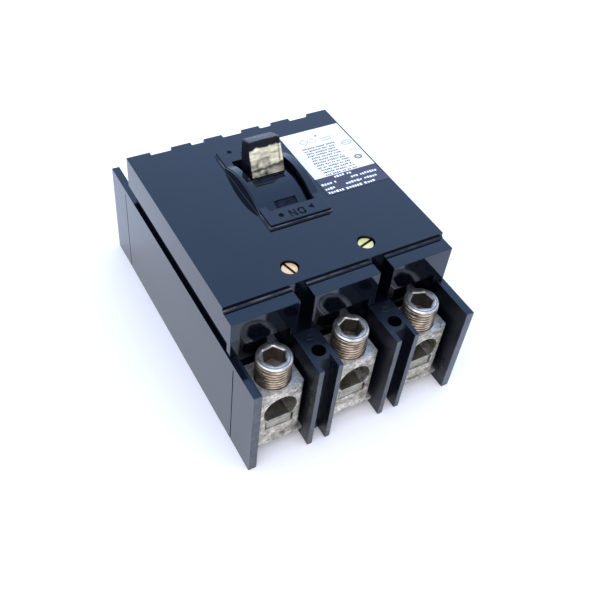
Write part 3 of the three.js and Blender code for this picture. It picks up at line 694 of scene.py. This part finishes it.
def make_window_shade_sheets():
    """Thin curved sheets of painted shade in the two windows of the shield."""
    bm = bmesh.new()
    steps = 8
    inner, outer = WINDOW_FLOOR
    for start, stop, half in WINDOWS:
        rings = []
        for k in range(steps + 1):
            a = math.radians(start + (stop - start) * k / steps)
            rings.append([Vector((x, r * math.sin(a), r * math.cos(a)))
                          for x, r in ((-half, inner), (half, inner), (half, outer), (-half, outer))])
        loft(bm, rings)
    bmesh.ops.transform(bm, matrix=TO_REST, verts=bm.verts)
    add_object("shield_window_painted_shade", bm, WINDOW_SHADE, "handle_unit")


def join_bmesh(target, extra):
    """Moves all of one bmesh into another."""
    mesh = bpy.data.meshes.new("part")
    extra.to_mesh(mesh)
    extra.free()
    target.from_mesh(mesh)
    bpy.data.meshes.remove(mesh)


# ---------------------------------------------------------------- label

# Print is laid out in millimetres from the label's lower left corner, then moved into place.
PRINT_DEPTH = 0.03
BAND_HEIGHT = 12.9 * MM
LABEL_THICKNESS = 0.20 * MM
SMALL_ROWS, FIRST_ROW, ROW_STEP = 12, 36.1, 2.02
# Left end, right end and height of each line on the dark band.
BAND_LINES = ((10.1, 21.1, 11.4), (17.9, 33.5, 8.2), (0.7, 9.3, 7.8), (0.9, 6.5, 4.3),
              (12.9, 32.9, 4.7), (1.1, 29.9, 1.4))


def line_of_print(bm, left, right, y, height, letter_width):
    """One line of blocks that stand for letters, grouped as words."""
    x = left
    while x < right - letter_width:
        for _ in range(random.randint(2, 7)):
            wide = letter_width * random.uniform(0.7, 1.15)
            if x + wide > right:
                break
            bottom = y - height / 2 + random.uniform(0.0, 0.25) * height
            top = y + height / 2 - random.uniform(0.0, 0.25) * height
            box_into(bm, (x, bottom, 0), (x + wide, top, PRINT_DEPTH))
            x += wide + letter_width * 0.42
        x += letter_width * 0.9


def outline(bm, points, width):
    """A closed line of print around a convex shape."""
    outer = [Vector(point) for point in points]
    middle = sum(outer, Vector((0, 0))) / len(outer)
    inner = [point - (point - middle).normalized() * width for point in outer]
    loft_ring(bm, [[Vector((*point, z)) for point in ring]
                   for ring, z in ((outer, 0), (outer, PRINT_DEPTH), (inner, PRINT_DEPTH), (inner, 0))])


def around(x, y, half_x, half_y, sides, turn=0.0):
    """Points on an oval, or the corners of a regular shape when there are few."""
    return [(x + half_x * math.cos(2 * math.pi * i / sides + turn),
             y + half_y * math.sin(2 * math.pi * i / sides + turn)) for i in range(sides)]


def add_print(name, bm, material, corner):
    """Scales print to metres and lays it on the label."""
    bmesh.ops.transform(bm, matrix=Matrix.Translation(corner) @ Matrix.Scale(MM, 4), verts=bm.verts)
    add_object(name, bm, material, "case")


def make_label_sheets(low, high, top):
    """The white sheet and the dark band below it."""
    band_top = low.y + BAND_HEIGHT
    for name, y0, y1, material in (("label_sheet", band_top, high.y, WHITE_FILM),
                                   ("label_band", low.y, band_top, BAND_FILM)):
        bm = bmesh.new()
        box_into(bm, (low.x, y0, low.z), (high.x, y1, top))
        piece = add_object(name, bm, material, "case")
        bevel(piece, 0.05 * MM, 2)
        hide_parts("rating_label")


def make_label():
    """Rows of blocks and a few plain shapes stand for the print."""
    low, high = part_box("rating_label")
    top = low.z + LABEL_THICKNESS
    corner = Vector((low.x, low.y, top))
    make_label_sheets(low, high, top)

    dark = bmesh.new()
    for row in range(SMALL_ROWS):
        left = 5.5 + random.uniform(0, 1.6)
        right = 25.9 - random.uniform(0, 2.4)
        line_of_print(dark, left, right, FIRST_ROW - ROW_STEP * row, 1.15, 0.80)
    dot(dark, 18.5, 44.6, 0, 0.6, 12, PRINT_DEPTH)
    outline(dark, around(30.2, 21.1, 2.3, 1.9, 6), 0.75)
    line_of_print(dark, 29.2, 31.3, 21.1, 0.8, 0.6)
    add_print("label_small_print", dark, DARK_INK, corner)

    light = bmesh.new()
    outline(light, around(9.9, 41.6, 2.6, 2.6, 4), 0.45)
    outline(light, around(14.8, 41.5, 2.6, 2.6, 3, math.pi / 2), 0.45)
    for y in (39.8, 41.5):
        line_of_print(light, 19.7, 26.3, y, 0.9, 0.8)
    outline(light, around(30.9, 33.7, 3.1, 1.9, 20), 0.55)
    line_of_print(light, 29.1, 32.9, 33.7, 0.9, 0.7)
    line_of_print(light, 26.7, 34.1, 27.2, 0.6, 0.55)
    add_print("label_emblems", light, LIGHT_INK, corner)

    pale = bmesh.new()
    for left, right, y in BAND_LINES:
        line_of_print(pale, left, right, y, 1.7, 1.15)
    add_print("label_band_print", pale, PALE_INK, corner)


# ---------------------------------------------------------------- marks on the mouldings

STROKE = 0.80 * MM
ON_Y, OFF_Y = -12.0 * MM, 38.2 * MM


def bar(bm, a, b, z):
    """A flat stroke between two points on a plane of height z."""
    a, b = Vector((*a, 0)), Vector((*b, 0))
    along = (b - a).normalized() * STROKE / 2
    turn = Matrix.Translation((a + b) / 2) @ Matrix.Rotation(math.atan2(*(b - a).yx), 4, "Z")
    half = (b - a).length / 2 + along.length
    box_into(bm, (-half, -STROKE / 2, z), (half, STROKE / 2, z + 0.04 * MM), turn)


def letter(bm, shape, x, y, z, size):
    """Strokes of O, N or F, turned to be read from the +Y side."""
    w, h = 0.36 * size, 0.5 * size
    strokes = {
        "O": [((-w, -h * .6), (-w, h * .6)), ((w, -h * .6), (w, h * .6)), ((-w * .5, h), (w * .5, h)),
              ((-w * .5, -h), (w * .5, -h)), ((-w, h * .6), (-w * .5, h)), ((w, h * .6), (w * .5, h)),
              ((-w, -h * .6), (-w * .5, -h)), ((w, -h * .6), (w * .5, -h))],
        "N": [((-w, -h), (-w, h)), ((w, -h), (w, h)), ((-w, h), (w, -h))],
        "F": [((-w, -h), (-w, h)), ((-w, h), (w, h)), ((-w, 0), (w * .6, 0))],
    }[shape]
    for a, b in strokes:
        bar(bm, (x - a[0], y - a[1]), (x - b[0], y - b[1]), z)


def round_mark(bm, x, y, z, outer, inner, sides):
    """A low raised ring with softened edges."""
    rings = []
    for radius, height in ((outer, 0), (outer, 0.10 * MM), (outer - 0.1 * MM, 0.16 * MM),
                           (inner + 0.1 * MM, 0.16 * MM), (inner, 0.10 * MM), (inner, 0.0)):
        rings.append([Vector((x + radius * math.cos(i * 2 * math.pi / sides),
                              y + radius * math.sin(i * 2 * math.pi / sides), z + height))
                      for i in range(sides)])
    loft_ring(bm, rings)


def dot(bm, x, y, z, radius, sides, height=0.05 * MM):
    """A flat mark with round or few sides. A negative radius points it towards -X."""
    ring = [(x + radius * math.cos(i * 2 * math.pi / sides), y + radius * math.sin(i * 2 * math.pi / sides))
            for i in range(sides)]
    loft(bm, [[Vector((*p, z)) for p in ring], [Vector((*p, z + height)) for p in ring]])


def make_marks():
    """ON and OFF with a mark on each side of them, and a ring on each barrier web."""
    plate_z = PLATE_TOP - 0.005 * MM
    bm = bmesh.new()
    letter(bm, "O", 2.1 * MM, ON_Y, plate_z, 3.7 * MM)
    letter(bm, "N", -2.5 * MM, ON_Y, plate_z, 3.7 * MM)
    for k, shape in enumerate("OFF"):
        letter(bm, shape, (4.2 - 3.9 * k) * MM, OFF_Y, plate_z, 3.6 * MM)
    add_object("on_off_letters", bm, LETTER_RECESS_SHADE, "case")
    bm = bmesh.new()
    for x, y, radius, sides in ((-8.3 * MM, ON_Y + 0.8 * MM, 1.30 * MM, 24),
                                (7.8 * MM, ON_Y + 1.0 * MM, -1.9 * MM, 3),
                                (-9.6 * MM, OFF_Y + 2.6 * MM, 1.25 * MM, 24),
                                (9.6 * MM, OFF_Y + 2.6 * MM, 1.25 * MM, 24)):
        dot(bm, x, y, plate_z, radius, sides)
    add_object("on_off_dots", bm, MARK_RECESS_SHADE, "case")
    web_z = WALL_TOP - 0.01 * MM
    for end, sign in ENDS.items():
        bm = bmesh.new()
        for x in (-BARRIER_X, BARRIER_X):
            round_mark(bm, x, sign * WEB_MARK_Y, web_z, 1.7 * MM, 1.2 * MM, 32)
        add_object(f"{end}_web_marks", bm, CASE, "case")


# ---------------------------------------------------------------- floor, lights and camera

FLOOR_HALF = 4.0
FLOOR_Z = -0.2 * MM
BRIGHT_SIDE = (0.39, 0.57, 0.72)
CAMERA_TURN = (-34.34, 46.43, 7.19)     # azimuth, elevation and roll, in degrees
CAMERA_PLACE = (-0.15304, -0.24222, 0.31492)
CAMERA_LENS = 47.65


def make_stage():
    """A wide pale floor just below the breaker."""
    bm = bmesh.new()
    for x, y in ((-1, -1), (1, -1), (1, 1), (-1, 1)):
        bm.verts.new((x * FLOOR_HALF, y * FLOOR_HALF, FLOOR_Z))
    bm.faces.new(bm.verts)
    mesh = bpy.data.meshes.new("floor")
    bm.to_mesh(mesh)
    bm.free()
    mesh.materials.append(floor_paper())
    floor = bpy.data.objects.new("floor", mesh)
    bpy.context.scene.collection.objects.link(floor)


def area_light(name, location, target, size, power):
    """A rectangular lamp that faces a point."""
    light = bpy.data.lights.new(name, "AREA")
    light.shape = "RECTANGLE"
    light.size, light.size_y = size
    light.energy = power
    lamp = bpy.data.objects.new(name, light)
    lamp.location = location
    lamp.rotation_euler = (Vector(target) - Vector(location)).to_track_quat("-Z", "Y").to_euler()
    bpy.context.scene.collection.objects.link(lamp)


def make_lights():
    """A soft room that is brighter high up behind the breaker, and one large overhead lamp."""
    world = bpy.data.worlds.new("studio")
    world.use_nodes = True
    nodes, links = world.node_tree.nodes, world.node_tree.links
    background = nodes["Background"]
    direction = nodes.new("ShaderNodeTexCoord")
    towards = nodes.new("ShaderNodeVectorMath")
    towards.operation = "DOT_PRODUCT"
    towards.inputs[1].default_value = BRIGHT_SIDE
    links.new(direction.outputs["Generated"], towards.inputs[0])
    rise = nodes.new("ShaderNodeMapRange")
    rise.interpolation_type = "SMOOTHSTEP"
    rise.inputs["From Min"].default_value = 0.2
    rise.inputs["From Max"].default_value = 0.9
    links.new(towards.outputs["Value"], rise.inputs["Value"])
    tint = nodes.new("ShaderNodeMix")
    tint.data_type = "RGBA"
    tint.inputs[6].default_value = (1.10, 1.18, 1.40, 1)
    tint.inputs[7].default_value = (1.06, 1.40, 2.05, 1)
    links.new(rise.outputs["Result"], tint.inputs["Factor"])
    links.new(tint.outputs[2], background.inputs["Color"])
    bpy.context.scene.world = world
    area_light("overhead", (-0.5, -0.65, 1.35), (0, 0, 0.03), (1.9, 1.9), 12)


def make_camera():
    """Looks down on the line end from the front left, rolled a little."""
    azimuth, elevation, roll = (math.radians(degrees) for degrees in CAMERA_TURN)
    back = Vector((math.sin(azimuth) * math.cos(elevation),
                   -math.cos(azimuth) * math.cos(elevation), math.sin(elevation)))
    level_right = Vector((0, 0, 1)).cross(back).normalized()
    level_up = back.cross(level_right)
    right = math.cos(roll) * level_right + math.sin(roll) * level_up
    up = -math.sin(roll) * level_right + math.cos(roll) * level_up
    data = bpy.data.cameras.new("camera")
    data.sensor_width = 36
    data.lens = CAMERA_LENS
    data.clip_start = 0.01
    camera = bpy.data.objects.new("camera", data)
    place = Matrix((right, up, back)).transposed().to_4x4()
    place.translation = CAMERA_PLACE
    camera.matrix_world = place
    bpy.context.scene.collection.objects.link(camera)
    bpy.context.scene.camera = camera


make_camera()
make_stage()
make_lights()
bpy.context.scene.view_settings.view_transform = "Standard"

finish_kept_nodes()
make_lug_screws()
make_handle()
make_window_shade_sheets()
make_label()
make_marks()
